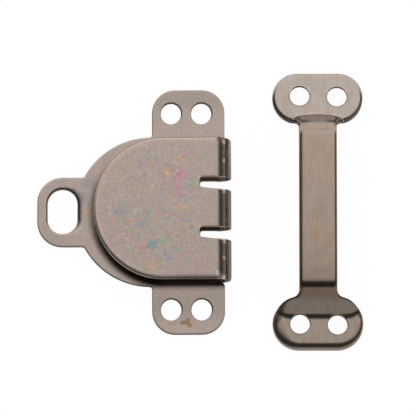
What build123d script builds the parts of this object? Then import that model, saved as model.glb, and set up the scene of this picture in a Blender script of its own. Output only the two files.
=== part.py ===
"""Sew-on hook and bar fastener for a waistband, in millimetres.

The set is two loose pieces of pressed sheet metal that lie side by side on a table:
the hook, one blank folded over on itself, and the bar, one strip stepped up between two pads.
+X runs from the hook to the bar, +Y away from the viewer and +Z up off the table.
The origin is on the table, under the middle of the set.
"""

import os

from build123d import *

# Driving dimensions of the hook
hook_sheet = 0.5
hook_length = 14.7
mouth_gap = 1.6
fold_width = 10.82
tongue_reach = 10.4
base_rim = 0.31
base_setback = 6.1
tab_span = 18.73
tab_width = 5.5
tab_setback = 0.5
tab_corner = 1.75
tab_hole = 1.54
tab_hole_pitch = 2.3
tab_hole_from_end = 1.825
tab_hole_shift = -0.17
loop_width = 5.32
loop_corner = 1.9
loop_slot_width = 2.26
loop_slot_length = 3.41
loop_rim = 0.78
slit_width = 0.9
slit_depth = 2.36
slit_pitch = 3.8
relief_width = 0.15
relief_depth = 0.4
inner_corner = 0.2

# Driving dimensions of the bar
bar_sheet = 0.8
bar_length = 21.16
bar_rise = 1.9
strip_width = 2.85
pad_width = 6.86
far_pad_depth = 3.73
near_pad_depth = 4.0
bar_hole = 1.58
bar_hole_pitch = 2.83
far_hole_from_end = 1.75
near_hole_from_end = 1.96
bar_hole_shift = 0.06
neck_corner = 0.35
far_pad_flat = 3.39
far_step_run = 1.12
near_pad_flat = 2.7
near_step_run = 2.1
step_bend = 0.9

# Edges of both pieces, and the clear space between the pieces on the table
edge_roll = 0.22
edge_break = 0.12
coin_width = 0.3
coin_depth = 0.12
hole_break = 0.08
set_gap = 3.1

# Where the pieces lie, with the set centred on the origin
set_width = hook_length + set_gap + pad_width
fold_x = hook_length - set_width / 2
bar_x = set_width / 2 - pad_width / 2

# Heights and stations that follow from the sizes above
hook_height = 2 * hook_sheet + mouth_gap
bend_x = fold_x - hook_height / 2
tip_x = fold_x - tongue_reach
base_x = fold_x - base_setback
base_radius = fold_width / 2 + base_rim
tab_x = fold_x - tab_setback - tab_width / 2
loop_end_x = fold_x - hook_length
slot_x = loop_end_x + loop_rim + loop_slot_width / 2
slit_end_x = fold_x - slit_depth
tab_hole_y = tab_span / 2 - tab_hole_from_end
bar_height = bar_rise + bar_sheet
far_foot = bar_length / 2 - far_pad_flat
near_foot = bar_length / 2 - near_pad_flat
far_hole_y = bar_length / 2 - far_hole_from_end
near_hole_y = near_hole_from_end - bar_length / 2


def rim_edges(skin):
    """The edges round a skin of faces: those that only one of its faces has."""
    edges = [edge for face in skin for edge in face.edges()]
    return ShapeList(edge for edge in edges if sum(edge.is_same(other) for other in edges) == 1)


# Hook, one sheet blank: the strip that folds over and comes back as the tongue
with BuildPart() as hook:
    with BuildSketch(Plane.XZ):
        with BuildLine():
            Line((base_x, hook_sheet / 2), (bend_x, hook_sheet / 2))
            CenterArc((bend_x, hook_height / 2), (hook_height - hook_sheet) / 2, -90, 180)
            Line((bend_x, hook_height - hook_sheet / 2), (tip_x, hook_height - hook_sheet / 2))
        trace(line_width=hook_sheet)
    extrude(amount=fold_width / 2, both=True)

    # The tongue's free end is cut to a half round as wide as the fold
    with BuildSketch():
        with Locations((tip_x + fold_width / 2, 0)):
            Circle(fold_width / 2)
            Rectangle(tongue_reach, fold_width, align=(Align.MIN, Align.CENTER))
    extrude(amount=hook_height, mode=Mode.INTERSECT)

    # Base plate: a round plate with two sewing tabs and a sewing loop, relieved beside the fold
    with BuildSketch():
        with Locations((base_x, 0)):
            Circle(base_radius)
        with Locations((tab_x, 0)):
            RectangleRounded(tab_width, tab_span, tab_corner)
        with Locations((loop_end_x, 0)):
            RectangleRounded(
                base_x - loop_end_x, loop_width, loop_corner, align=(Align.MIN, Align.CENTER)
            )
        with Locations((bend_x, 0)):
            Rectangle(
                hook_height,
                fold_width + 2 * relief_width,
                align=(Align.MIN, Align.CENTER),
                mode=Mode.SUBTRACT,
            )
            with GridLocations(0, fold_width + relief_width, 1, 2):
                Rectangle(2 * relief_depth, relief_width, mode=Mode.SUBTRACT)
    extrude(amount=hook_sheet)

    # Two slits across the fold part it into three lugs
    with BuildSketch():
        with Locations((fold_x, 0)):
            with GridLocations(0, slit_pitch, 1, 2):
                Rectangle(2 * slit_depth, slit_width)
    extrude(amount=hook_height, mode=Mode.SUBTRACT)

    # Corners of the outline beside the loop, beside the tabs and at the tabs' ends by the fold
    uprights = hook.edges().filter_by(Axis.Z).filter_by(lambda e: abs(e.center().Y) < base_radius)
    flat = uprights.filter_by(lambda e: e.center().Z < hook_sheet)
    left = flat.filter_by(lambda e: loop_end_x + loop_corner < e.center().X - 0.1 < tab_x - tab_width / 2)
    right = flat.filter_by(lambda e: abs(e.center().X - tab_x - tab_width / 2) < 0.01)
    fillet(left + right, inner_corner)

    # Press-rolled edges round the outside of the tongue and the three lugs
    top = hook.faces().filter_by(Plane.XY).sort_by(Axis.Z)[-1:]
    round_faces = hook.faces().filter_by(GeomType.CYLINDER)
    bend = round_faces.filter_by(lambda f: abs(f.radius - hook_height / 2) < 0.01)
    fillet(rim_edges(top + bend).filter_by(Axis.Y, reverse=True), edge_roll)

    # Sewing holes in the tabs and the slot of the loop
    with BuildSketch():
        with Locations((slot_x, 0)):
            SlotOverall(loop_slot_length, loop_slot_width, rotation=90)
        with Locations((tab_x + tab_hole_shift, 0)):
            with GridLocations(tab_hole_pitch, 2 * tab_hole_y, 2, 2):
                Circle(tab_hole / 2)
    extrude(amount=hook_sheet, mode=Mode.SUBTRACT)

    # Broken edges: the outline underneath, clear of the slits and the fold, and all hole rims
    level = hook.faces().filter_by(Plane.XY)
    under = level.sort_by(Axis.Z)[0]
    seat = level.filter_by(lambda f: abs(f.center().Z - hook_sheet) < 0.01).sort_by(SortBy.AREA)[-1]
    rims = [edge for face in (under, seat) for wire in face.inner_wires() for edge in wire.edges()]
    outline = under.outer_wire().edges().filter_by(
        lambda e: e.center().X < slit_end_x - relief_depth
        or abs(e.center().Y) > (fold_width + relief_width) / 2
    )
    chamfer(outline, edge_break)
    chamfer(rims, hole_break)
hook.part.label = "hook"

# Press tool of the bar: the side view of each half, turned about the upright axis in the bar's
# middle, so that the steps end in arcs on the pads. The far step is steep and the near one easier.
with BuildPart() as press:
    for side, foot, run in ((1, far_foot, far_step_run), (-1, near_foot, near_step_run)):
        with BuildSketch(Plane.XZ):
            with BuildLine():
                FilletPolyline(
                    (bar_x, bar_rise + bar_sheet / 2),
                    (bar_x + side * (foot - run), bar_rise + bar_sheet / 2),
                    (bar_x + side * foot, bar_sheet / 2),
                    (bar_x + side * (bar_length + pad_width) / 2, bar_sheet / 2),
                    radius=step_bend,
                )
            trace(line_width=bar_sheet)
        revolve(axis=Axis((bar_x, 0, 0), (0, 0, 1)), revolution_arc=180)

# Bar, one sheet strip: two round-ended pads and the narrow strip between them, pressed up
with BuildPart() as bar:
    with BuildSketch(Plane((bar_x, 0, 0))):
        for side, depth in ((1, far_pad_depth), (-1, near_pad_depth)):
            with Locations((0, side * (bar_length - depth) / 2)):
                SlotOverall(pad_width, depth)
        with Locations((0, (near_pad_depth - far_pad_depth) / 4)):
            Rectangle(strip_width, bar_length - (far_pad_depth + near_pad_depth) / 2)
        offset(amount=neck_corner, kind=Kind.ARC)
        offset(amount=-neck_corner, kind=Kind.ARC)
    extrude(amount=bar_height)
    add(press.part, mode=Mode.INTERSECT)

    # Coined edge round the upper side: a shallow bevel that runs on from the far end round the whole rim
    upper = bar.faces().filter_by(lambda f: f.normal_at().Z > 0.2)
    pad = upper.sort_by(Axis.Y)[-1]
    far_end = rim_edges(upper).filter_by(lambda e: any(e.is_same(edge) for edge in pad.edges()))
    chamfer(far_end.sort_by(Axis.Y)[-1:], coin_width, coin_depth, reference=pad)

    # Sewing holes in the pads
    with Locations((bar_x + bar_hole_shift, (far_hole_y + near_hole_y) / 2, bar_height)):
        with GridLocations(bar_hole_pitch, far_hole_y - near_hole_y, 2, 2):
            Hole(bar_hole / 2)
bar.part.label = "bar"

os.makedirs("parts", exist_ok=True)
export_step(hook.part, "parts/hook.step")
export_step(bar.part, "parts/bar.step")
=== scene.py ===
import math

import bpy
import numpy as np
from mathutils import Matrix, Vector
from mathutils.geometry import delaunay_2d_cdt


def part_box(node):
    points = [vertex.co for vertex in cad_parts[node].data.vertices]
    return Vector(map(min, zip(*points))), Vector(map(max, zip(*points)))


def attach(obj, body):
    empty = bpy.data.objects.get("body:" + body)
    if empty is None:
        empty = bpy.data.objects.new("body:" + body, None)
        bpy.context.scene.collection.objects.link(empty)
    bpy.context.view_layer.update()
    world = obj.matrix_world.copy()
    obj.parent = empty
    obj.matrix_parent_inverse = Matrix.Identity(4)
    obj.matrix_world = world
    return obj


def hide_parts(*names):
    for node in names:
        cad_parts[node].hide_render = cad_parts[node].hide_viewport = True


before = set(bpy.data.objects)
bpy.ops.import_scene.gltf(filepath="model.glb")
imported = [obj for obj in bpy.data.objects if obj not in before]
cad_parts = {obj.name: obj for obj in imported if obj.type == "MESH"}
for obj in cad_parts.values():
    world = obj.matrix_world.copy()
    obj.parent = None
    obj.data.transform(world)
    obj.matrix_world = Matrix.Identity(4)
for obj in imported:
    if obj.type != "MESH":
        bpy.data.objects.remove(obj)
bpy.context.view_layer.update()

# Hook: one blank of sheet metal, punched with two tabs, a loop and two slits, then folded over
# at the right so that its free end comes back above the plate as the D-shaped tongue.
# It is tumbled and plated a brownish grey, and sewn on through the holes and the loop.
mm = 0.001
hook_low, hook_high = (np.array(corner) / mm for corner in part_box("hook"))
hook_sheet = 0.5
hook_height = hook_high[2]
fold_x = hook_high[0]
loop_end_x = hook_low[0]
tab_end_y = hook_high[1]
fold_half = 5.41
tongue_reach = 10.4
base_rim = 0.31
base_setback = 6.1
tab_width = 5.5
tab_setback = 0.5
tab_corner = 1.75
tab_foot = 0.25
inner_corner = 0.2
tab_hole = 1.54
tab_hole_stretch = 1.05
near_hole_lift = 0.05
tab_hole_pitch = 2.3
tab_hole_from_end = 1.825
tab_hole_shift = -0.17
loop_half = 2.66
loop_corner = 1.9
loop_rim = 0.78
slot_width = 2.26
slot_length = 3.41
slot_shift = 0.04
slit_width = 0.9
slit_depth = 2.36
slit_pitch = 3.8
slit_taper = 0.14
relief_width = 0.06
relief_depth = 0.4

# Steps along an outline, how far tumbling softens its corners, and the rows of points over the fold
point_step = 0.07
outline_soft = 0.06
slot_soft = 0.05
hole_soft = 0.02
slit_soft = 0.12
fold_rows = 49
fold_columns = 60
fold_overrun = 0.02

# Rounds of the edges. Slants and drops are depths: as a share of the round's width, and plain
punch_taper = 0.1, 0.34
tongue_roll = 0.24
tongue_front_roll = 0.34
front_flattening = 0.75
roll_start = 0.1
roll_run = 0.5
slit_roll = 0.1
slit_end_roll = 0.03
slit_end_start = 0.25
slit_end_run = 0.2
plate_roll = 0.16
mouth_roll = 0.05
plate_slant = 0.12
plate_slant_left = 0.2
slot_roll = 0.1
slot_roll_left = 0.65
slot_roll_viewer = 0.16
slot_roll_right = 0.04
slot_slant = 0.3
slot_drop_right = 0.12
hole_roll = 0.06
hole_roll_left = 0.12
hole_roll_viewer = 0.08
hole_slant = 0.25
hole_slant_left = 0.3

bend_x = fold_x - hook_height / 2
neutral_radius = (hook_height - hook_sheet) / 2
fold_length = math.pi * neutral_radius
base_x = fold_x - base_setback
base_radius = fold_half + base_rim
tab_right = fold_x - tab_setback
tab_left = tab_right - tab_width
tongue_x = fold_x - tongue_reach + fold_half
tongue_u = 2 * bend_x + fold_length - tongue_x
slit_u = fold_x - slit_depth, 2 * bend_x + fold_length - (fold_x - slit_depth)


def arc(x, y, radius, start, end, points=60):
    """Points on the circle of that centre and radius, from the start angle to the end angle in degrees."""
    turn = np.radians(np.linspace(start, end, points))
    return np.column_stack((x + radius * np.cos(turn), y + radius * np.sin(turn)))


def even_loop(points, soften):
    """A closed outline walked at even steps of its length. Each point is then averaged with its
    neighbours under a bell curve of width soften, which rounds the corners as tumbling does."""
    closed = np.vstack((points, points[:1]))
    length = np.concatenate(([0.0], np.cumsum(np.hypot(*np.diff(closed, axis=0).T))))
    count = round(length[-1] / point_step)
    at = np.arange(count) * length[-1] / count
    even = np.column_stack([np.interp(at, length, axis) for axis in closed.T])
    bell = np.exp(-2.0 * (np.pi * soften * np.fft.fftfreq(count, length[-1] / count)) ** 2)
    return np.fft.ifft(np.fft.fft(even, axis=0) * bell[:, None], axis=0).real


def facing_of(loop):
    """The direction out of the metal at each point of an outline: its tangent turned a quarter right."""
    tangent = np.roll(loop, -1, axis=0) - np.roll(loop, 1, axis=0)
    tangent /= np.hypot(*tangent.T)[:, None]
    return np.column_stack((tangent[:, 1], -tangent[:, 0]))


def edge_rings(loop, thickness, outer, inner, rings=10, face_margin=0.03):
    """The edge of a sheet along one outline: a quarter ellipse from the outer face to the wall and
    another from the wall to the inner face, each (width, depth), carried along the outline.
    Gives the blank's place (along, across, depth) and the normal of each point, ring by ring."""
    inward = -facing_of(loop)
    turn = np.radians(np.linspace(0, 90, rings))[:, None]
    flat = np.zeros((1, len(loop)))
    inset = np.concatenate((
        outer[0] + flat + face_margin, outer[0] * (1 - np.sin(turn)) + flat,
        inner[0] * (1 - np.cos(turn)) + flat, inner[0] + flat + face_margin))
    depth = np.concatenate((
        flat, outer[1] * (1 - np.cos(turn)) + flat,
        thickness - inner[1] * (1 - np.sin(turn)) + flat, flat + thickness))
    outwards = np.concatenate((
        flat, np.sin(turn) / outer[0] + flat, np.cos(turn) / inner[0] + flat, flat))
    facing = np.concatenate((
        flat + 1, np.cos(turn) / outer[1] + flat, -np.sin(turn) / inner[1] + flat, flat - 1))
    place = np.dstack((loop + inset[..., None] * inward, depth))
    normal = np.dstack((-outwards[..., None] * inward, facing))
    return place, normal / np.linalg.norm(normal, axis=2, keepdims=True)


def fill_face(rings, spare, edge_clear=0.05, same_point=1e-7, inside_only=1):
    """Triangles over a flat blank between its outline and its holes, the first ring being the outline.
    Spare points are kept where they lie in the metal: on the inner side of the nearest ring point."""
    border = np.concatenate(rings)
    sizes = [len(ring) for ring in rings]
    ring_of = np.repeat(np.arange(len(rings)), sizes)
    starts = np.cumsum([0] + sizes)
    ahead = np.concatenate([start + np.roll(np.arange(size), -1) for start, size in zip(starts, sizes)])
    gap = spare[:, None] - border[None]
    nearest = np.argmin((gap ** 2).sum(axis=2), axis=1)
    rows = np.arange(len(spare))
    tangent = (border[ahead] - border)[nearest]
    to_left = tangent[:, 0] * gap[rows, nearest, 1] - tangent[:, 1] * gap[rows, nearest, 0]
    spare = spare[(to_left > 0) & (np.linalg.norm(gap[rows, nearest], axis=1) > edge_clear)]
    points = np.concatenate((border, spare))
    edges = np.column_stack((np.arange(len(border)), ahead))
    made = delaunay_2d_cdt(points.tolist(), edges.tolist(), [], inside_only, same_point)
    origin = np.array([source[0] for source in made[3]])
    faces = origin[np.array(made[2])]
    owner = np.concatenate((ring_of, np.full(len(spare), -1)))[faces]
    in_hole = (owner[:, 0] > 0) & (owner == owner[:, :1]).all(axis=1)
    return faces[~in_hole], spare


def sheet_object(name, loops, thickness, rounds, spare, form):
    """A punched and formed sheet as one closed skin: the rounded edge along each outline, and the two
    faces filled between the edges. form takes the blank's points and normals to their place in space."""
    edges = [edge_rings(loop, thickness, *rounds(loop)) for loop in loops]
    places = [place.reshape(-1, 3) for place, _ in edges]
    normals = [normal.reshape(-1, 3) for _, normal in edges]
    starts = np.cumsum([0] + [len(place) for place in places])
    grids = [start + np.arange(place.shape[0] * place.shape[1]).reshape(place.shape[:2])
             for start, (place, _) in zip(starts, edges)]
    quads = []
    for grid in grids:
        along = np.roll(grid, -1, axis=1)
        quads.append(np.stack((grid[:-1], along[:-1], along[1:], grid[1:]), axis=2).reshape(-1, 4))
    triangles = []
    total = starts[-1]
    for ring, level, side in ((0, 0.0, 1.0), (-1, thickness, -1.0)):
        faces, kept = fill_face([place[ring, :, :2] for place, _ in edges], spare)
        numbers = np.concatenate([grid[ring] for grid in grids] + [total + np.arange(len(kept))])
        triangles.append(numbers[faces[:, ::-1] if side > 0 else faces])
        places.append(np.column_stack((kept, np.full(len(kept), level))))
        normals.append(np.tile((0.0, 0.0, side), (len(kept), 1)))
        total += len(kept)
    point, normal = form(np.concatenate(places), np.concatenate(normals))
    mesh = bpy.data.meshes.new(name)
    mesh.from_pydata(point * mm, [], np.concatenate(quads).tolist() + np.concatenate(triangles).tolist())
    mesh.shade_smooth()
    mesh.normals_split_custom_set_from_vertices(normal.tolist())
    made = bpy.data.objects.new(name, mesh)
    bpy.context.scene.collection.objects.link(made)
    return made


def fold_over(place, normal):
    """The flat blank folded: level up to the bend line, round half a turn about the fold's axis, and
    level again on its way back. Depth counts from the outer face, so the fold's radius shrinks by it.
    The tabs stay level, and their sheared edges close up against the fold."""
    u, v, w = place.T
    folds = np.abs(v) < fold_half + relief_width / 2
    beside = np.clip(1 - (np.abs(v) - fold_half - relief_width) / tab_foot, 0, 1)
    beside = beside * (u > bend_x - relief_depth) * ~folds
    v = v - np.sign(v) * relief_width * beside
    turn = np.clip((u - bend_x) / neutral_radius, 0, np.pi) * folds
    past = np.maximum(u - bend_x - fold_length, 0)
    radius = hook_height / 2 - w
    x = np.where(folds, np.minimum(u, bend_x) + radius * np.sin(turn) - past, u)
    z = hook_height / 2 - radius * np.cos(turn)
    flat = np.zeros_like(turn)
    along = np.column_stack((np.cos(turn), flat, np.sin(turn)))
    face = np.column_stack((np.sin(turn), flat, -np.cos(turn)))
    across = np.array((0.0, 1.0, 0.0))
    return (np.column_stack((x, v, z)),
            normal[:, :1] * along + normal[:, 1:2] * across + normal[:, 2:] * face)


def eased(share):
    """A share from 0 to 1 with a soft start and end: three times its square less twice its cube."""
    return share * share * (3 - 2 * share)


def hook_rounds(loop):
    """Rounds of the hook's edges as (width, depth), outside and then inside the fold. The plate is
    tumbled to a shallow round above and keeps the taper of the punch below. The tongue has the press's
    roll outside. Edges that face the viewer are pressed wider and shallower than the others, the slot's
    round is widest on its wall that faces left, and the slits' round runs out at their end on the tongue."""
    u, v = loop.T
    out_u, out_v = facing_of(loop).T
    to_left, to_right = np.maximum(-out_u, 0) ** 2, np.maximum(out_u, 0) ** 2
    to_viewer = np.maximum(-out_v, 0) ** 2
    taper = [size + 0 * u for size in punch_taper]
    if np.ptp(u) < slot_length and np.ptp(v) > 2 * tab_hole:
        width = slot_roll + slot_roll_left * to_left + slot_roll_viewer * to_viewer
        width = width + slot_roll_right * to_right
        return taper, (width, slot_slant * width + slot_drop_right * to_right)
    if np.ptp(u) < slot_length:
        width = hole_roll + hole_roll_left * to_left + hole_roll_viewer * to_viewer
        return taper, (width, width * (hole_slant + hole_slant_left * to_left))
    if np.ptp(v) < slit_pitch:
        at_end = np.clip((u - slit_u[1] + slit_end_start) / slit_end_run, 0, 1)
        width = slit_roll + (slit_end_roll - slit_roll) * at_end
    else:
        width = tongue_roll + (tongue_front_roll - tongue_roll) * to_viewer
    on_tongue = np.clip((u - bend_x + roll_start) / roll_run, 0, 1)
    on_tongue = eased(on_tongue * (np.abs(v) < fold_half + relief_width / 2))
    outer = [below + (above - below) * on_tongue
             for below, above in zip(taper, (width, width * (1 - front_flattening * to_viewer)))]
    inner = plate_roll + (mouth_roll - plate_roll) * on_tongue
    return outer, (inner, (plate_slant + plate_slant_left * to_left) * inner)


# Outline of the blank: half of it from the tongue's tip round the tab and the plate to the loop's end
corner_y = tab_end_y - tab_corner
shoulder_x = tab_left - inner_corner
shoulder_y = math.sqrt((base_radius + inner_corner) ** 2 - (shoulder_x - base_x) ** 2)
neck_y = loop_half + inner_corner
neck_x = base_x - math.sqrt((base_radius + inner_corner) ** 2 - neck_y ** 2)
shoulder = math.degrees(math.atan2(shoulder_y, shoulder_x - base_x))
neck = math.degrees(math.atan2(neck_y, neck_x - base_x))
relief_y = fold_half + relief_width
half_outline = np.concatenate((
    arc(tongue_u, 0, fold_half, 0, 90),
    [(bend_x - relief_depth, fold_half), (bend_x - relief_depth, relief_y)],
    arc(tab_right - tab_foot, relief_y + tab_foot, tab_foot, -90, 0),
    arc(tab_right - tab_corner, corner_y, tab_corner, 0, 90),
    arc(tab_left + tab_corner, corner_y, tab_corner, 90, 180),
    arc(shoulder_x, shoulder_y, inner_corner, 0, shoulder - 180),
    arc(base_x, 0, base_radius, shoulder, neck),
    arc(neck_x, neck_y, inner_corner, neck - 180, -90),
    arc(loop_end_x + loop_corner, loop_half - loop_corner, loop_corner, 90, 180)))
outline = np.concatenate((half_outline, half_outline[::-1] * (1, -1)))
hook_loops = [even_loop(outline, outline_soft)]
slot_x = loop_end_x + loop_rim + slot_width / 2
slot_y = (slot_length - slot_width) / 2
hook_loops.append(even_loop(np.concatenate((
    arc(slot_x, slot_shift + slot_y, slot_width / 2, 180, 0),
    arc(slot_x, slot_shift - slot_y, slot_width / 2, 0, -180))), slot_soft))
tab_hole_x = (tab_left + tab_right) / 2 + tab_hole_shift
tab_hole_y = tab_end_y - tab_hole_from_end
tab_holes = [(tab_hole_x + step * tab_hole_pitch, hole_y)
             for hole_y in (near_hole_lift - tab_hole_y, tab_hole_y) for step in (-0.5, 0.5)]
for hole_place in tab_holes:
    ring = arc(0, 0, tab_hole / 2, 360, 0)[:-1] * (1, tab_hole_stretch)
    hook_loops.append(even_loop(ring + hole_place, hole_soft))
for side in (-1, 1):
    low, high = side * slit_pitch / 2 - slit_width / 2, side * slit_pitch / 2 + slit_width / 2
    hook_loops.append(even_loop(np.array((
        (slit_u[0], low), (slit_u[0], high), (slit_u[1], high),
        (slit_u[1], low + slit_taper), (bend_x + fold_length, low))), slit_soft))
fold_grid = np.stack(np.meshgrid(
    bend_x + fold_length * np.linspace(-fold_overrun, 1 + fold_overrun, fold_rows),
    np.linspace(-fold_half, fold_half, fold_columns)), axis=-1).reshape(-1, 2)
hook = sheet_object("hook_sheet", hook_loops, hook_sheet, hook_rounds, fold_grid, fold_over)


def metal(name):
    """A plated metal: a new material with its tree, its shader and the object's own coordinates in
    millimetres."""
    material = bpy.data.materials.new(name)
    material.use_nodes = True
    tree = material.node_tree
    shader = tree.nodes["Principled BSDF"]
    shader.inputs["Metallic"].default_value = 1.0
    place = tree.nodes.new("ShaderNodeTexCoord")
    scale = tree.nodes.new("ShaderNodeMapping")
    scale.inputs["Scale"].default_value = (1 / mm, 1 / mm, 1 / mm)
    tree.links.new(place.outputs["Object"], scale.inputs["Vector"])
    return material, tree, shader, scale.outputs["Vector"]


def axes_of(tree, vector):
    """The x, y and z of a vector."""
    split = tree.nodes.new("ShaderNodeSeparateXYZ")
    tree.links.new(vector, split.inputs["Vector"])
    return split.outputs


def reckon(tree, operation, a, b=0.0):
    """A step of arithmetic on two numbers, each a plain number or the output of a node."""
    step = tree.nodes.new("ShaderNodeMath")
    step.operation = operation
    for socket, value in zip(step.inputs, (a, b)):
        if isinstance(value, bpy.types.NodeSocket):
            tree.links.new(value, socket)
        else:
            socket.default_value = value
    return step.outputs[0]


def all_of(tree, first, *others):
    """How far a place has several properties at once: their amounts multiplied."""
    amount = first
    for other in others:
        amount = reckon(tree, "MULTIPLY", amount, other)
    return amount


def soft_edge(tree, value, span, levels=(0.0, 1.0)):
    """A smooth rise over a span of a value, from the first level to the second."""
    ramp = tree.nodes.new("ShaderNodeMapRange")
    ramp.interpolation_type = "SMOOTHSTEP"
    tree.links.new(value, ramp.inputs["Value"])
    for name, number in zip(("From Min", "From Max", "To Min", "To Max"), (*span, *levels)):
        ramp.inputs[name].default_value = number
    return ramp.outputs["Result"]


def noise(tree, place, scale, detail=2.0):
    """A cloudy noise with about that many clouds to the millimetre."""
    cloud = tree.nodes.new("ShaderNodeTexNoise")
    cloud.inputs["Scale"].default_value = scale
    cloud.inputs["Detail"].default_value = detail
    tree.links.new(place, cloud.inputs["Vector"])
    return cloud.outputs


def tint(tree, colour, shade, amount=1.0, how="MULTIPLY"):
    """A colour with another laid over it, by an amount from 0 to 1. Colours are plain or from a node."""
    layer = tree.nodes.new("ShaderNodeMix")
    layer.data_type = "RGBA"
    layer.blend_type = how
    for socket, value in zip((layer.inputs[0], layer.inputs[6], layer.inputs[7]), (amount, colour, shade)):
        if isinstance(value, bpy.types.NodeSocket):
            tree.links.new(value, socket)
        else:
            socket.default_value = (*value, 1.0) if isinstance(value, tuple) else value
    return layer.outputs[2]


def spots(tree, place, height, marks, core=0.25):
    """How much of a spot lies at a place, from 0 to 1, for round marks (x, y, radius) at that height."""
    amount = None
    for x, y, radius in marks:
        far = tree.nodes.new("ShaderNodeVectorMath")
        far.operation = "DISTANCE"
        far.inputs[1].default_value = (x, y, height)
        tree.links.new(place, far.inputs[0])
        spot = soft_edge(tree, far.outputs["Value"], (radius, core * radius))
        amount = spot if amount is None else reckon(tree, "MAXIMUM", amount, spot)
    return amount


def rims(tree, x, y, radius, centres, start=0.14, full=0.05):
    """How close a place is to the rim of the nearest of some holes, 1 at the rim and 0 further out."""
    nearest = None
    for centre_x, centre_y in centres:
        aside, along = reckon(tree, "SUBTRACT", x, centre_x), reckon(tree, "SUBTRACT", y, centre_y)
        far = reckon(
            tree, "ADD", reckon(tree, "MULTIPLY", aside, aside), reckon(tree, "MULTIPLY", along, along))
        nearest = far if nearest is None else reckon(tree, "MINIMUM", nearest, far)
    return soft_edge(tree, nearest, ((radius + start) ** 2, (radius + full) ** 2))


def beyond_rows(tree, y, row_y):
    """How far a place lies beyond the middle of its row, for one row at that distance on either side of
    the origin."""
    return reckon(tree, "SUBTRACT", y, reckon(tree, "MULTIPLY", reckon(tree, "SIGN", y), row_y))


def relief(tree, shader, height, strength=0.1, depth=0.02 * mm):
    """Fine unevenness of a surface, from a noise, as bump."""
    bump = tree.nodes.new("ShaderNodeBump")
    bump.inputs["Strength"].default_value = strength
    bump.inputs["Distance"].default_value = depth
    tree.links.new(height, bump.inputs["Height"])
    tree.links.new(bump.outputs["Normal"], shader.inputs["Normal"])


# Plating of the hook, cloudy between two browns and finely grained
plating_tones = (0.392, 0.318, 0.278), (0.37, 0.305, 0.268)
cloud_span = 0.35, 0.65
grain_span = 0.25, 0.75
grain_levels = 0.9, 1.1
hook_metal, tree, shader, place = metal("hook_metal")
x, y, z = axes_of(tree, place)
cloudy = soft_edge(tree, noise(tree, place, scale=1.2)["Fac"], cloud_span)
colour = tint(tree, *plating_tones, cloudy, "MIX")
grain = noise(tree, place, scale=6.0, detail=4.0)["Fac"]
colour = tint(tree, colour, soft_edge(tree, grain, grain_span, grain_levels))

# How far a place lies from the tongue's middle line or, at the tip, from the centre of its round,
# and whether it is up on the tongue or down on the plate
tongue_rise = 1.6, 2.0
past_tip = reckon(tree, "MINIMUM", reckon(tree, "SUBTRACT", x, tongue_x), 0.0)
reach = reckon(tree, "SQRT", reckon(
    tree, "ADD", reckon(tree, "MULTIPLY", past_tip, past_tip), reckon(tree, "MULTIPLY", y, y)))
raised = soft_edge(tree, z, tongue_rise)
lower = reckon(tree, "SUBTRACT", 1.0, raised)

# Painted highlight: a lighter rim of the tongue, round its tip and along its far side
rim_band_reach = fold_half - 0.5, fold_half - 0.28
rim_highlight_tip = tongue_x + 2.0, tongue_x - 1.5
rim_highlight_far_side = 4.0, 5.0
rim_highlight_far_end = bend_x + 0.4, bend_x + 0.1
rim_highlight_tint = 1.3, 1.27, 1.26
rim_band = all_of(tree, soft_edge(tree, reach, rim_band_reach), raised)
far_side = all_of(tree, soft_edge(tree, y, rim_highlight_far_side), soft_edge(tree, x, rim_highlight_far_end))
rim_highlight = all_of(tree, rim_band, reckon(tree, "MAXIMUM", soft_edge(tree, x, rim_highlight_tip), far_side))
colour = tint(tree, colour, rim_highlight_tint, rim_highlight)

# Marks on the fold: painted highlights at its near corner and along the lugs, and dark at its far end.
# Each is a depth below the top, a tint and its spots as (x past the bend line, y, radius)
fold_marks = (
    (0.1, (1.7, 1.65, 1.65), ((0.3, -5.0, 0.3), (0.35, -5.25, 0.3))),
    (0.25, (2.7, 2.75, 2.85), (
        (0.75, 5.0, 0.25), (0.75, 3.6, 0.22), (0.78, 1.3, 0.32),
        (0.78, -2.5, 0.34), (0.72, -3.8, 0.22), (0.75, -5.3, 0.32))),
    (0.1, (0.3, 0.27, 0.25), ((0.45, 5.3, 0.3), (0.75, 5.38, 0.35))),
)
for depth, shade, marks in fold_marks:
    marks = [(bend_x + past_bend, across, radius) for past_bend, across, radius in marks]
    colour = tint(tree, colour, shade, spots(tree, place, hook_height - depth, marks))

# Painted shade on the lower part of the tongue's rounded edge, fading out towards its near side
edge_shade_reach = fold_half - 0.12, fold_half - 0.06
edge_shade_depth = hook_height - 0.05, hook_height - 0.12
edge_shade_side = -5.0, -2.0
edge_shade_tint = 0.38, 0.35, 0.33
edge_shade = all_of(tree, soft_edge(tree, reach, edge_shade_reach), raised,
                 soft_edge(tree, z, edge_shade_depth), soft_edge(tree, y, edge_shade_side))
colour = tint(tree, colour, edge_shade_tint, edge_shade)

# Painted shadow on the plate close beside the tongue, darker in the seam right beside it and darkest by the
# near side of the tip
beside_shadow_edge = fold_half + 0.7, fold_half - 0.05
beside_shadow_side = 4.5, 1.5
beside_shadow_tint = 0.42, 0.4, 0.39
tip_shadow_edge = fold_half + 0.6, fold_half + 0.05
tip_shadow_x = tongue_x + 0.5, tongue_x - 1.0
tip_shadow_side = -0.4, -2.6
tip_shadow_tint = 0.3, 0.28, 0.26
seam_shade_edge = fold_half + 0.32, fold_half + 0.16
seam_shade_side = 5.2, 4.0
seam_shade_tint = 0.8, 0.76, 0.73
beside_shadow = all_of(tree, soft_edge(tree, reach, beside_shadow_edge), lower, soft_edge(tree, y, beside_shadow_side))
colour = tint(tree, colour, beside_shadow_tint, beside_shadow)
tip_shadow = all_of(tree, soft_edge(tree, reach, tip_shadow_edge), lower,
                 soft_edge(tree, x, tip_shadow_x), soft_edge(tree, y, tip_shadow_side))
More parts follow.
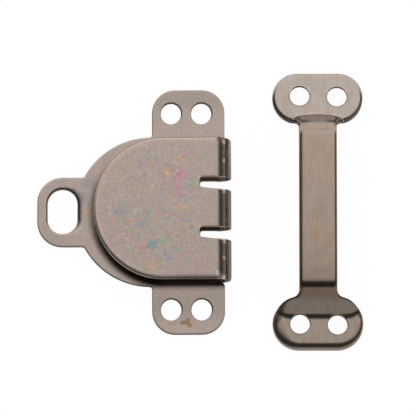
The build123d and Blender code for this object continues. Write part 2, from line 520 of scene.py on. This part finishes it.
colour = tint(tree, colour, tip_shadow_tint, tip_shadow)
seam_shade = all_of(tree, soft_edge(tree, reach, seam_shade_edge), lower, soft_edge(tree, y, seam_shade_side))
colour = tint(tree, colour, seam_shade_tint, seam_shade)

# Tabs: painted shade round the hole rims and a painted highlight on the holes' walls on their far side, the
# far tab darker towards its end, and on the near tab painted shade by the tongue that turns to painted light
# towards its end
rim_shade_tint = 0.8, 0.77, 0.75
wall_inset = 0.05
wall_highlight_tint = 1.7, 1.65, 1.6
far_half = 0.15, 0.5
far_tab_end = 7.4, 8.6
far_tab_tint = 0.87, 0.88, 0.87
near_tab = -5.2, -5.6
near_tab_end = -7.4, -8.9
near_tab_shading_levels = 0.9, 1.08
colour = tint(tree, colour, rim_shade_tint, rims(tree, x, y, tab_hole / 2, tab_holes))
lit_far_walls = all_of(tree, soft_edge(tree, beyond_rows(tree, y, tab_hole_y), far_half),
                   rims(tree, x, y, tab_hole / 2 - wall_inset, tab_holes))
colour = tint(tree, colour, wall_highlight_tint, lit_far_walls)
colour = tint(tree, colour, far_tab_tint, soft_edge(tree, y, far_tab_end))
near_tab_shading = soft_edge(tree, y, near_tab_end, near_tab_shading_levels)
colour = tint(tree, colour, near_tab_shading, soft_edge(tree, y, near_tab))

# Painted dark reflection along the fold
fold_start = bend_x + 0.3, bend_x + 0.6
fold_side = fold_half + 0.15, fold_half + 0.05
line_start = fold_x - 0.53, fold_x - 0.38
line_end = fold_x - 0.08, fold_x - 0.32
dark_reflection_tint = 0.3, 0.28, 0.27
on_fold = all_of(tree, soft_edge(tree, x, fold_start), soft_edge(tree, reach, fold_side))
dark_reflection = all_of(tree, soft_edge(tree, x, line_start), soft_edge(tree, x, line_end), on_fold)
colour = tint(tree, colour, dark_reflection_tint, dark_reflection)

# Painted light on the slits' walls that face the viewer, and on the plate beside them, inside the mouth
slit_half = slit_width / 2
slit_start = slit_u[0] - 0.1, slit_u[0] - 0.05
wall_front = slit_half - 0.1, slit_half - 0.05
wall_back = slit_half + 0.06, slit_half + 0.02
slit_wall_light_tint = 2.3, 2.15, 2.05
plate_front = slit_half - 0.15, slit_half - 0.1
plate_back = slit_half + 0.5, slit_half + 0.3
plate_end = fold_x - 0.3, fold_x - 0.6
mouth_light_tint = 2.4, 2.5, 2.55
from_slit = beyond_rows(tree, y, slit_pitch / 2)
past_start = soft_edge(tree, x, slit_start)
slit_wall = all_of(tree, soft_edge(tree, from_slit, wall_back), soft_edge(tree, from_slit, wall_front),
             past_start)
colour = tint(tree, colour, slit_wall_light_tint, slit_wall)
mouth_light = all_of(tree, soft_edge(tree, from_slit, plate_back), soft_edge(tree, from_slit, plate_front),
                 past_start, soft_edge(tree, x, plate_end), lower)
colour = tint(tree, colour, mouth_light_tint, mouth_light)

# Tarnish: a patchy film over the tongue that breaks the light into faint colours, with stronger spots
# of uneven outline on the tongue and the plate. Each tint has its spots as (x, y, radius)
patch_span = 0.4, 0.6
patch_edge = fold_half - 0.5, fold_half - 1.5
patch_end = 0.6, -0.8
rainbow_gain = 0.9, 0.7, 0.9
rainbow_base = 0.55, 0.65, 0.55
ripple_middle = 0.5, 0.5, 0.5
ripple_width = 0.9, 0.9, 0.9
tongue_film = {
    (1.17, 0.79, 1.06): ((-1.5, 2.4, 0.6), (-1.2, 2.6, 0.4), (-1.7, 1.6, 0.4), (-1.7, 1.0, 0.35),
                         (-4.3, -3.0, 0.45), (0.3, -4.4, 0.3)),
    (1.24, 1.0, 0.84): ((-1.4, 3.7, 0.3), (-3.2, 4.2, 0.3), (-5.5, 2.4, 0.3), (-6.8, 1.2, 0.3),
                        (-1.5, 0.0, 0.45), (-3.6, -4.4, 0.45), (-6.5, -2.4, 0.3), (-2.4, 2.7, 0.4)),
    (0.84, 0.88, 1.08): ((-4.4, 3.4, 0.4), (-5.7, -0.35, 0.6), (-6.2, -0.3, 0.45), (-3.3, 3.7, 0.3)),
    (0.6, 0.86, 1.13): ((-4.4, -1.2, 0.4), (-3.6, -2.8, 0.55), (-2.3, -3.9, 0.3), (-2.6, -3.5, 0.25)),
    (0.72, 1.1, 0.86): ((-0.5, 1.8, 0.4), (-5.8, 0.25, 0.35), (-3.9, -0.4, 0.4), (-2.8, -2.6, 0.4)),
    (0.5, 1.04, 1.18): ((-2.4, -0.9, 0.28), (-1.9, -3.3, 0.28)),
}
plate_film = {
    (1.14, 0.96, 0.86): ((-8.6, 0.05, 0.45), (-7.6, 3.4, 0.45)),
    (0.86, 0.88, 1.02): ((-8.75, 1.1, 0.55), (-8.4, 2.2, 0.8)),
    (0.86, 1.02, 0.9): ((-8.3, -0.7, 0.35),),
}
patch = all_of(tree, soft_edge(tree, noise(tree, place, scale=0.8)["Fac"], patch_span), raised,
               soft_edge(tree, reach, patch_edge), soft_edge(tree, x, patch_end))
rainbow = tree.nodes.new("ShaderNodeVectorMath")
rainbow.operation = "MULTIPLY_ADD"
rainbow.inputs[1].default_value = rainbow_gain
rainbow.inputs[2].default_value = rainbow_base
tree.links.new(noise(tree, place, scale=3.2, detail=1.0)["Color"], rainbow.inputs[0])
colour = tint(tree, colour, rainbow.outputs["Vector"], patch)
ripple = tree.nodes.new("ShaderNodeVectorMath")
ripple.operation = "SUBTRACT"
ripple.inputs[1].default_value = ripple_middle
tree.links.new(noise(tree, place, scale=4.0)["Color"], ripple.inputs[0])
uneven = tree.nodes.new("ShaderNodeVectorMath")
uneven.operation = "MULTIPLY_ADD"
uneven.inputs[1].default_value = ripple_width
tree.links.new(ripple.outputs["Vector"], uneven.inputs[0])
tree.links.new(place, uneven.inputs[2])
for height, film in ((hook_height, tongue_film), (hook_sheet, plate_film)):
    for shade, marks in film.items():
        colour = tint(tree, colour, shade, spots(tree, uneven.outputs["Vector"], height, marks))

# Stain between the holes of the near tab, with a rusty fleck on one side and a brown dash on the other
tab_marks = {
    (0.7, 0.53, 0.38): ((-0.96, -8.2, 0.17), (-0.97, -8.33, 0.24), (-0.95, -8.5, 0.3),
                        (-0.8, -8.68, 0.24), (-1.15, -8.47, 0.26), (-1.35, -8.45, 0.26)),
    (1.3, 0.93, 0.76): ((-0.6, -8.3, 0.2),),
    (1.0, 0.86, 0.66): [(dash_x, -8.56, 0.13) for dash_x in (-2.3, -2.16, -2.02, -1.9)],
}
for shade, marks in tab_marks.items():
    colour = tint(tree, colour, shade, spots(tree, place, hook_sheet, marks))

# Gloss of the hook: rougher on the highlighted rim and the slits' walls, less metallic under the painted
# shadow beside the tongue, on the slits' walls and on the plate beside them, and dented on the fold
haze_span = 0.35, 0.7
hook_gloss = 0.13, 0.22
rim_roughness = 0.18
slit_wall_roughness = 0.4
beside_shadow_matt = 0.4
slit_wall_matt = 0.5
mouth_matt = 0.6
dent_start = bend_x + 0.6, bend_x + 0.9
dent_levels = 0.0, 10.0
tree.links.new(colour, shader.inputs["Base Color"])
scuffed = reckon(tree, "ADD", reckon(tree, "MULTIPLY", rim_band, rim_roughness),
                 reckon(tree, "MULTIPLY", slit_wall, slit_wall_roughness))
haze = soft_edge(tree, noise(tree, place, scale=16.0)["Fac"], haze_span, hook_gloss)
tree.links.new(reckon(tree, "ADD", haze, scuffed), shader.inputs["Roughness"])
matt = reckon(tree, "ADD", reckon(tree, "MULTIPLY", beside_shadow, beside_shadow_matt),
              reckon(tree, "MULTIPLY", slit_wall, slit_wall_matt))
matt = reckon(tree, "MAXIMUM", matt, reckon(tree, "MULTIPLY", mouth_light, mouth_matt))
tree.links.new(reckon(tree, "SUBTRACT", 1.0, matt), shader.inputs["Metallic"])
dents = all_of(tree, noise(tree, place, scale=4.5, detail=1.0)["Fac"],
               soft_edge(tree, x, dent_start, dent_levels), on_fold)
relief(tree, shader, reckon(tree, "ADD", grain, dents))
hook.data.materials.append(hook_metal)
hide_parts("hook")
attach(hook, "root")

# Bar: one punched strip of sheet metal, pressed up between two round-ended pads so that the
# tongue can pass under it. It is plated like the hook, but smoother, and sewn on through the pads.
# Values for both ends are kept by side: -1 is the near end and 1 the far end.
bar_low, bar_high = (np.array(corner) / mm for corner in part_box("bar"))
bar_sheet = 0.8
bar_x = (bar_low[0] + bar_high[0]) / 2
bar_end = bar_high[1]
bar_turn = math.radians(0.26)
strip_half = 1.425
pad_half = bar_high[0] - bar_x
pad_depths = {-1: 4.0, 1: 3.73}
shoulder_rises = {-1: 1.88, 1: 1.93}
neck_corners = {-1: 0.6, 1: 0.35}
bar_hole = 1.5
bar_hole_pitch = 2.83
bar_hole_from_end = {-1: 1.96, 1: 1.75}
bar_hole_shift = 0.06
bar_hole_skew = 0.06
far_pad_flat = 3.39
far_step_run = 1.12
far_top_bend = 0.9
far_foot_bend = 0.55
near_pad_flat = 2.7
near_step_run = 2.1
near_foot_bend = 1.2
near_top_bend = 0.65
near_hollow = 0.02
strip_bow = 0.017
strip_end = 5.9
foot_reach = 7.3
far_foot_curl = 1.0
near_foot_curl = 0.4
near_foot_half = 2.1
side_view_points = 4000
row_start = 0.4
row_step = 0.09
column_step = 0.25

# Rounds as (width, depth). The outline has one for each way an edge can face: left, right, to the
# viewer and away. They change from the strip's to a pad's over the pad's run, from its start
bar_hole_top = 0.05, 0.02
bar_hole_taper = {-1: (0.03, 0.1), 1: (0.09, 0.6)}
bar_under = 0.06, 0.06
strip_roll = (0.5, 0.23), (0.3, 0.16), (0.35, 0.35), (0.2, 0.06)
near_roll = (1.05, 0.37), (0.46, 0.21), (0.58, 0.38), (0.2, 0.06)
far_roll = (0.32, 0.25), (0.28, 0.2), (0.28, 0.3), (0.25, 0.25)
pad_starts = {-1: 6.4, 1: 6.2}
pad_runs = {-1: 1.6, 1: 0.8}

# Side view of the sheet's middle from the near end to the far one: each row is the lean that a stretch
# ends with, which is reached evenly along it, and the stretch's length
strip_flat = 2 * bar_end - near_pad_flat - near_step_run - far_step_run - far_pad_flat
bar_rise = bar_high[2] - bar_sheet - strip_bow * strip_flat / 4
near_angle = math.atan2(bar_rise, near_step_run)
far_angle = math.atan2(bar_rise, far_step_run)
near_slope = math.hypot(bar_rise, near_step_run)
far_slope = math.hypot(bar_rise, far_step_run)
near_foot_tangent = near_foot_bend * math.tan(near_angle / 2)
near_top_tangent = near_top_bend * math.tan(near_angle / 2)
far_top_tangent = far_top_bend * math.tan(far_angle / 2)
far_foot_tangent = far_foot_bend * math.tan(far_angle / 2)
side_view = np.array((
    (0, near_pad_flat - near_foot_tangent),
    (near_angle * (1 - near_hollow), near_foot_bend * near_angle),
    (near_angle * (1 + near_hollow), near_slope - near_foot_tangent - near_top_tangent),
    (strip_bow, near_top_bend * near_angle),
    (-strip_bow, strip_flat - near_top_tangent - far_top_tangent),
    (-far_angle, far_top_bend * far_angle),
    (-far_angle, far_slope - far_top_tangent - far_foot_tangent),
    (0, far_foot_bend * far_angle),
    (0, far_pad_flat - far_foot_tangent)))
knots = np.concatenate(([0.0], np.cumsum(side_view[:, 1])))
travel = np.linspace(0, knots[-1], side_view_points)
lean_along = np.interp(travel, knots, np.concatenate(([0.0], side_view[:, 0])))
pace = np.diff(travel)[0]
middle_lean = (lean_along[1:] + lean_along[:-1]) / 2
y_along = -bar_end + np.concatenate(([0.0], np.cumsum(np.cos(middle_lean)))) * pace
z_along = bar_sheet / 2 + np.concatenate(([0.0], np.cumsum(np.sin(middle_lean)))) * pace
bar_twist = np.array(((math.cos(bar_turn), -math.sin(bar_turn), 0.0),
                      (math.sin(bar_turn), math.cos(bar_turn), 0.0), (0.0, 0.0, 1.0)))


def step_up(place, normal):
    """The flat blank pressed to its side view: a point's height is that of the upper or lower face at its
    reach along the bar, or between them by its depth, and its normal leans with that face. On the strip
    the reach is straight along, and down the steps it grows to the sides. So the foot of the far step is
    an arc across the strip, that of the near step is straight with its ends bent back to the strip, and
    the pads stay level beside the steps. The bar is then turned a little and set in its place."""
    u, v, w = place.T
    down = np.clip((np.abs(u) - strip_end) / (foot_reach - strip_end), 0, 1)
    side = np.sign(v)
    past_strip, past_foot = (np.maximum(np.abs(v) - half, 0) for half in (strip_half, near_foot_half))
    far_curl = np.hypot(u, v) - np.abs(u) + far_foot_curl * past_strip ** 2
    far_growth = v / np.maximum(np.abs(u), 1) + 2 * far_foot_curl * past_strip * side
    curl = np.where(u > 0, far_curl, near_foot_curl * past_foot ** 2) * down
    growth = np.where(u > 0, far_growth, 2 * near_foot_curl * past_foot * side) * down
    reach = u + np.copysign(curl, u)
    low_face = w > bar_sheet / 2
    offsets = bar_sheet / 2 * np.array(((-1,), (1,))) * np.sin(lean_along)
    rises = bar_sheet / 2 * np.array(((1,), (-1,))) * np.cos(lean_along)
    upper, lower = (np.interp(reach, y_along + offset, z_along + rise)
                    for offset, rise in zip(offsets, rises))
    lean = np.where(low_face, np.interp(reach, y_along + offsets[1], lean_along),
                    np.interp(reach, y_along + offsets[0], lean_along))
    point = np.column_stack((v, u, upper + (lower - upper) * w / bar_sheet))
    away = np.column_stack((np.copysign(growth, growth * u), np.ones_like(u)))
    away /= np.hypot(*away.T)[:, None]
    across = np.column_stack((away[:, 1], -away[:, 0], 0 * lean))
    along = np.column_stack((away * np.cos(lean)[:, None], np.sin(lean)))
    face = np.column_stack((-away * np.sin(lean)[:, None], np.cos(lean)))
    flat = normal[:, 1::-1]
    facing = ((flat * away).sum(axis=1, keepdims=True) * along
              + (flat * across[:, :2]).sum(axis=1, keepdims=True) * across + normal[:, 2:] * face)
    return point @ bar_twist + (bar_x, 0.0, 0.0), facing @ bar_twist


def bar_rounds(loop):
    """Rounds of the bar's edges as (width, depth), above and then below. The holes are fine above and
    keep the taper of the punch. The outline's round is a blend of the rounds of the sides that it faces,
    and changes from the strip to the pads: the press rolled the near pad more."""
    u = loop[:, 0]
    out_y, out_x = facing_of(loop).T
    if np.ptp(u) < 2 * bar_hole:
        width, depth = bar_hole_top
        return (width + 0 * u, depth), bar_hole_taper[1 if u[0] > 0 else -1]
    near_pad, far_pad = (np.clip((side * u - pad_starts[side]) / pad_runs[side], 0, 1)[:, None]
                         for side in (-1, 1))
    sides = np.maximum(np.column_stack((-out_x, out_x, -out_y, out_y)), 0) ** 2
    strip, near, far = (sides @ roll for roll in (strip_roll, near_roll, far_roll))
    width, depth = (strip + (near - strip) * eased(near_pad) + (far - strip) * far_pad).T
    return (width, depth), bar_under


# Outline of the blank: at each end half a round-ended pad and the neck's corner, with the inner half
# of the pad drawn to its own depth
half_outlines = {}
for side, depth in pad_depths.items():
    pad_round = depth / 2
    neck_corner = neck_corners[side]
    pad_v = pad_half - pad_round
    neck_v = strip_half + neck_corner
    lap = math.degrees(math.asin((neck_v - pad_v) / (pad_round + neck_corner)))
    neck_u = -(pad_round + neck_corner) * math.cos(math.radians(lap))
    half = np.concatenate((
        arc(0, pad_v, pad_round, 0, 180 - lap), arc(neck_u, neck_v, neck_corner, -lap, -90)))
    half[:, 0] *= np.where(half[:, 0] < 0, shoulder_rises[side] / pad_round, 1)
    half_outlines[side] = (half + (bar_end - pad_round, 0)) * (side, 1)
half_bar = np.concatenate((half_outlines[1], half_outlines[-1][::-1]))
bar_outline = np.concatenate((half_bar, half_bar[::-1] * (1, -1)))
bar_loops = [even_loop(bar_outline, outline_soft)]
bar_holes = np.array([(bar_hole_shift + step * bar_hole_pitch,
                       side * (bar_end - bar_hole_from_end[side]) - bar_hole_skew * (step + 0.5))
                      for side in (-1, 1) for step in (-0.5, 0.5)])
for hole_v, hole_u in bar_holes:
    bar_loops.append(even_loop(arc(hole_u, hole_v, bar_hole / 2, 360, 0)[:-1], hole_soft))
bar_rows = np.interp(np.arange(row_start, knots[-1], row_step), travel, y_along)
bar_columns = np.arange(-pad_half, pad_half, column_step)
bar_grid = np.stack(np.meshgrid(bar_rows, bar_columns), axis=-1).reshape(-1, 2)
bar = sheet_object("bar_strip", bar_loops, bar_sheet, bar_rounds, bar_grid, step_up)

# Plating of the bar, brown on the strip, with painted light on the far pad, which is lighter, and painted
# shade towards the near one, which is darker and greyer
strip_tone = 0.342, 0.272, 0.222
far_pad_lit_tone = 0.425, 0.364, 0.325
far_pad_start = 6.35, 6.65
strip_near_end = -3.6, -5.3
strip_near_shade_tint = 0.86, 0.88, 0.88
near_pad_shaded_tone = 0.325, 0.268, 0.226
near_pad_start = -5.6, -6.4
bar_metal, tree, shader, place = metal("bar_metal")
x, y, z = axes_of(tree, place)
colour = tint(tree, strip_tone, far_pad_lit_tone, soft_edge(tree, y, far_pad_start), "MIX")
colour = tint(tree, colour, strip_near_shade_tint, soft_edge(tree, y, strip_near_end))
colour = tint(tree, colour, near_pad_shaded_tone, soft_edge(tree, y, near_pad_start), "MIX")

# Steps: painted shade in the crease at the far step's foot, a painted bluish reflection on the far slope,
# and painted shade, browner, on the near slope
crease_low = bar_sheet, bar_sheet + 0.06
crease_high = 1.15, 0.92
crease_side = 5.0, 6.0
crease_shade_tint = 0.68, 0.68, 0.68
near_slope_top = -5.3, -5.6
near_slope_foot = -7.1, -6.6
near_slope_shade_tint = 0.82, 0.74, 0.69
far_slope_low = bar_sheet, 0.95
far_slope_side = 6.3, 6.6
far_slope_reflection_tint = 0.93, 1.0, 1.08
crease_shade = all_of(tree, soft_edge(tree, z, crease_low), soft_edge(tree, z, crease_high),
                soft_edge(tree, y, crease_side))
colour = tint(tree, colour, crease_shade_tint, crease_shade)
near_slope_shade = all_of(tree, soft_edge(tree, y, near_slope_top), soft_edge(tree, y, near_slope_foot))
colour = tint(tree, colour, near_slope_shade_tint, near_slope_shade)
far_slope_reflection = all_of(tree, soft_edge(tree, z, far_slope_low), soft_edge(tree, y, far_slope_side))
colour = tint(tree, colour, far_slope_reflection_tint, far_slope_reflection)

# Edges: painted shade along the far pad's sides and at its neck, painted shade in spots at the near pad's
# ends as (x, y, radius), and a painted highlight on the near pad's right wall
far_wall_depth = 0.79, 0.68
far_wall_start = 6.4, 6.8
far_wall_end = 9.4, 8.6
far_wall_shade_tint = 0.3, 0.25, 0.22
near_end_height = 0.75
near_end_marks = (5.85, -8.05, 0.5), (5.75, -8.3, 0.4), (12.1, -7.9, 0.5), (11.9, -7.7, 0.4)
near_end_shade_tint = 0.35, 0.33, 0.32
far_neck_depth = bar_sheet + 0.02, bar_sheet + 0.15
far_neck_start = 6.0, 6.4
far_neck_side = strip_half - 0.2, strip_half
far_neck_shade_tint = 0.35, 0.32, 0.3
near_wall_depth = 0.76, 0.68
near_wall_start = -6.5, -7.0
near_wall_side = bar_x + 3.1, bar_x + 3.35
near_wall_highlight_tint = 2.2, 2.1, 2.05
far_wall_shade = all_of(tree, soft_edge(tree, z, far_wall_depth), soft_edge(tree, y, far_wall_start),
                  soft_edge(tree, y, far_wall_end))
colour = tint(tree, colour, far_wall_shade_tint, far_wall_shade)
colour = tint(tree, colour, near_end_shade_tint, spots(tree, place, near_end_height, near_end_marks))
aside = reckon(tree, "ABSOLUTE", reckon(tree, "SUBTRACT", x, bar_x))
far_neck_shade = all_of(tree, soft_edge(tree, z, far_neck_depth), soft_edge(tree, y, far_neck_start),
                  soft_edge(tree, aside, far_neck_side))
colour = tint(tree, colour, far_neck_shade_tint, far_neck_shade)
near_wall_highlight = all_of(tree, soft_edge(tree, z, near_wall_depth), soft_edge(tree, y, near_wall_start),
                   soft_edge(tree, x, near_wall_side))
colour = tint(tree, colour, near_wall_highlight_tint, near_wall_highlight)

# Hole rims of the pads: painted shade on the rims, and a painted highlight on the walls on their far side
pad_rim_shade_tint = 0.7, 0.65, 0.6
pad_wall_inset = 0.02
pad_wall_highlight_tint = 2.3, 2.4, 2.5
hole_places = bar_holes @ bar_twist[:2, :2] + (bar_x, 0.0)
colour = tint(tree, colour, pad_rim_shade_tint, rims(tree, x, y, bar_hole / 2, hole_places))
lit_far_walls = all_of(tree, soft_edge(tree, beyond_rows(tree, y, np.abs(bar_holes[:, 1]).mean()), far_half),
                   rims(tree, x, y, bar_hole / 2 - pad_wall_inset, hole_places))
colour = tint(tree, colour, pad_wall_highlight_tint, lit_far_walls)

# Fine streaks along the bar, brown clouds, faint bluish and brownish patches on the strip as
# (x from the middle, y, radius), and a satin gloss
streak_scale = 7.0, 1.0, 2.0
streak_span = 0.25, 0.75
streak_levels = 0.93, 1.07
brown_span = 0.45, 0.7
brown_tint = 0.98, 0.91, 0.84
strip_film = {
    (0.96, 1.0, 1.06): ((0.15, 0.5, 1.3), (-0.5, -3.6, 1.0)),
    (1.0, 0.96, 0.92): ((-0.1, -2.3, 1.3), (-0.5, 4.8, 1.0)),
}
bar_gloss = 0.16, 0.24
brush = tree.nodes.new("ShaderNodeMapping")
brush.inputs["Scale"].default_value = streak_scale
tree.links.new(place, brush.inputs["Vector"])
streak = noise(tree, brush.outputs["Vector"], scale=1.0, detail=3.0)["Fac"]
colour = tint(tree, colour, soft_edge(tree, streak, streak_span, streak_levels))
colour = tint(tree, colour, brown_tint, soft_edge(tree, noise(tree, place, scale=1.3)["Fac"], brown_span))
for shade, marks in strip_film.items():
    marks = [(bar_x + from_middle, along, radius) for from_middle, along, radius in marks]
    colour = tint(tree, colour, shade, spots(tree, place, bar_high[2], marks))
tree.links.new(colour, shader.inputs["Base Color"])
haze = soft_edge(tree, noise(tree, place, scale=12.0)["Fac"], haze_span, bar_gloss)
tree.links.new(haze, shader.inputs["Roughness"])
relief(tree, shader, noise(tree, place, scale=4.0, detail=3.0)["Fac"])
bar.data.materials.append(bar_metal)
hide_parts("bar")
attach(bar, "root")

# Table: a plain white board that the set lies on. It shows white, also in the metal, and keeps
# the soft dark of whatever stands close over it.
table_radius = 1.5
table_sides = 96
table_drop = 0.01 * mm
table_colour = 0.8, 0.8, 0.8, 1.0
shade_distance = 12.0 * mm
shade_samples = 8
seen_shade = 0.96
mirrored_shade = 1.8
around = np.linspace(0, 2 * np.pi, table_sides, endpoint=False)
table_rim = np.column_stack((
    table_radius * np.cos(around), table_radius * np.sin(around), np.full(table_sides, -table_drop)))
table_mesh = bpy.data.meshes.new("table")
table_mesh.from_pydata(table_rim, [], [list(range(table_sides))])
table = bpy.data.objects.new("table", table_mesh)
bpy.context.scene.collection.objects.link(table)
table_white = bpy.data.materials.new("table_white")
table_white.use_nodes = True
tree = table_white.node_tree
tree.nodes.clear()
output = tree.nodes.new("ShaderNodeOutputMaterial")
board = tree.nodes.new("ShaderNodeBsdfDiffuse")
board.inputs["Color"].default_value = table_colour
glow = tree.nodes.new("ShaderNodeEmission")
shade = tree.nodes.new("ShaderNodeAmbientOcclusion")
shade.inputs["Distance"].default_value = shade_distance
shade.samples = shade_samples
ray = tree.nodes.new("ShaderNodeLightPath")
mirrored = reckon(tree, "ADD", ray.outputs["Is Glossy Ray"], ray.outputs["Is Transmission Ray"])
lit = tree.nodes.new("ShaderNodeMath")
lit.operation = "ADD"
lit.use_clamp = True
tree.links.new(mirrored, lit.inputs[0])
tree.links.new(ray.outputs["Is Camera Ray"], lit.inputs[1])
faint = tree.nodes.new("ShaderNodeMapRange")
faint.inputs["To Min"].default_value = seen_shade
tree.links.new(shade.outputs["AO"], faint.inputs["Value"])
level = tree.nodes.new("ShaderNodeMix")
tree.links.new(ray.outputs["Is Camera Ray"], level.inputs["Factor"])
tree.links.new(reckon(tree, "POWER", shade.outputs["AO"], mirrored_shade), level.inputs["A"])
tree.links.new(faint.outputs["Result"], level.inputs["B"])
tree.links.new(level.outputs["Result"], glow.inputs["Strength"])
mix = tree.nodes.new("ShaderNodeMixShader")
tree.links.new(lit.outputs[0], mix.inputs["Fac"])
tree.links.new(board.outputs["BSDF"], mix.inputs[1])
tree.links.new(glow.outputs["Emission"], mix.inputs[2])
tree.links.new(mix.outputs["Shader"], output.inputs["Surface"])
table.data.materials.append(table_white)

# Light: one wide softbox overhead, set back, and a bright backdrop behind it, in a dim room whose
# pale walls are brightest at the front right. The world holds it all, as brightness by direction:
# x and y of a direction over one plus its height.
softbox_right = 0.15, 0.38
softbox_left = -0.40, -0.14
softbox_front = -0.15, 0.17
softbox_rear = 0.22, 0.5
softbox_rear_levels = 1.0, 0.6
softbox_strength = 1.25
backdrop_start = 0.1, 0.42
backdrop_strength = 1.1
wall_top = 0.68, 0.42
wall_foot = 0.0, 0.22
wall_turn = 1.35
wall_span = 0.1, 1.0
wall_levels = 0.2, 1.7
wall_strength = 0.30
room_strength = 0.06
lowest_height = 0.05
fading = 1.0, 0.0
world = bpy.data.worlds.new("studio")
bpy.context.scene.world = world
world.use_nodes = True
tree = world.node_tree
sky = tree.nodes["Background"]
toward = tree.nodes.new("ShaderNodeTexCoord")
toward_x, toward_y, height = axes_of(tree, toward.outputs["Generated"])
over = reckon(tree, "MAXIMUM", reckon(tree, "ADD", height, 1.0), lowest_height)
side_slope = reckon(tree, "DIVIDE", toward_x, over)
back_slope = reckon(tree, "DIVIDE", toward_y, over)
softbox = all_of(
    tree, soft_edge(tree, side_slope, softbox_right, fading), soft_edge(tree, side_slope, softbox_left),
    soft_edge(tree, back_slope, softbox_front),
    soft_edge(tree, back_slope, softbox_rear, softbox_rear_levels))
backdrop = soft_edge(tree, back_slope, backdrop_start)
facing = reckon(tree, "SUBTRACT", side_slope, reckon(tree, "MULTIPLY", back_slope, wall_turn))
wall = all_of(tree, soft_edge(tree, height, wall_top), soft_edge(tree, height, wall_foot),
              soft_edge(tree, facing, wall_span, wall_levels))
bright = reckon(tree, "MAXIMUM", reckon(tree, "MULTIPLY", softbox, softbox_strength),
                reckon(tree, "MULTIPLY", backdrop, backdrop_strength))
light = reckon(tree, "ADD", bright, reckon(tree, "MULTIPLY", wall, wall_strength))
tree.links.new(reckon(tree, "ADD", light, room_strength), sky.inputs["Strength"])
sky.inputs["Color"].default_value = (1.0, 1.0, 1.0, 1.0)

# Camera: almost straight above the set, leaning towards the viewer, with a long lens. It stands
# as far off as the picture's scale asks for, and is turned a little about its own line of sight.
camera_lean = math.radians(9.155)
sideways = math.radians(0.5)
camera_roll = math.radians(-0.18)
aim = np.array((0.596, 0.364, 0.0)) * mm
view_angle = math.radians(6.189)
image_width = 416
pixels_per_mm = 13.185
sensor_width = 36.0
nearest_seen = 0.01
distance = image_width / 2 / pixels_per_mm * mm / math.tan(view_angle / 2)
back = np.array((math.sin(sideways), -math.sin(camera_lean), 0.0))
back[2] = math.sqrt(1 - back @ back)
right = np.cross(-back, (0.0, 1.0, 0.0))
right /= np.linalg.norm(right)
up = np.cross(right, -back)
rolled_right = math.cos(camera_roll) * right + math.sin(camera_roll) * up
rolled_up = math.cos(camera_roll) * up - math.sin(camera_roll) * right
lens = bpy.data.cameras.new("camera")
lens.sensor_width = sensor_width
lens.lens = sensor_width / 2 / math.tan(view_angle / 2)
lens.clip_start = nearest_seen
camera = bpy.data.objects.new("camera", lens)
pose = np.eye(4)
pose[:3] = np.column_stack((rolled_right, rolled_up, back, aim + distance * back))
camera.matrix_world = Matrix(pose.tolist())
bpy.context.scene.collection.objects.link(camera)
bpy.context.scene.camera = camera
bpy.context.scene.view_settings.view_transform = "Standard"
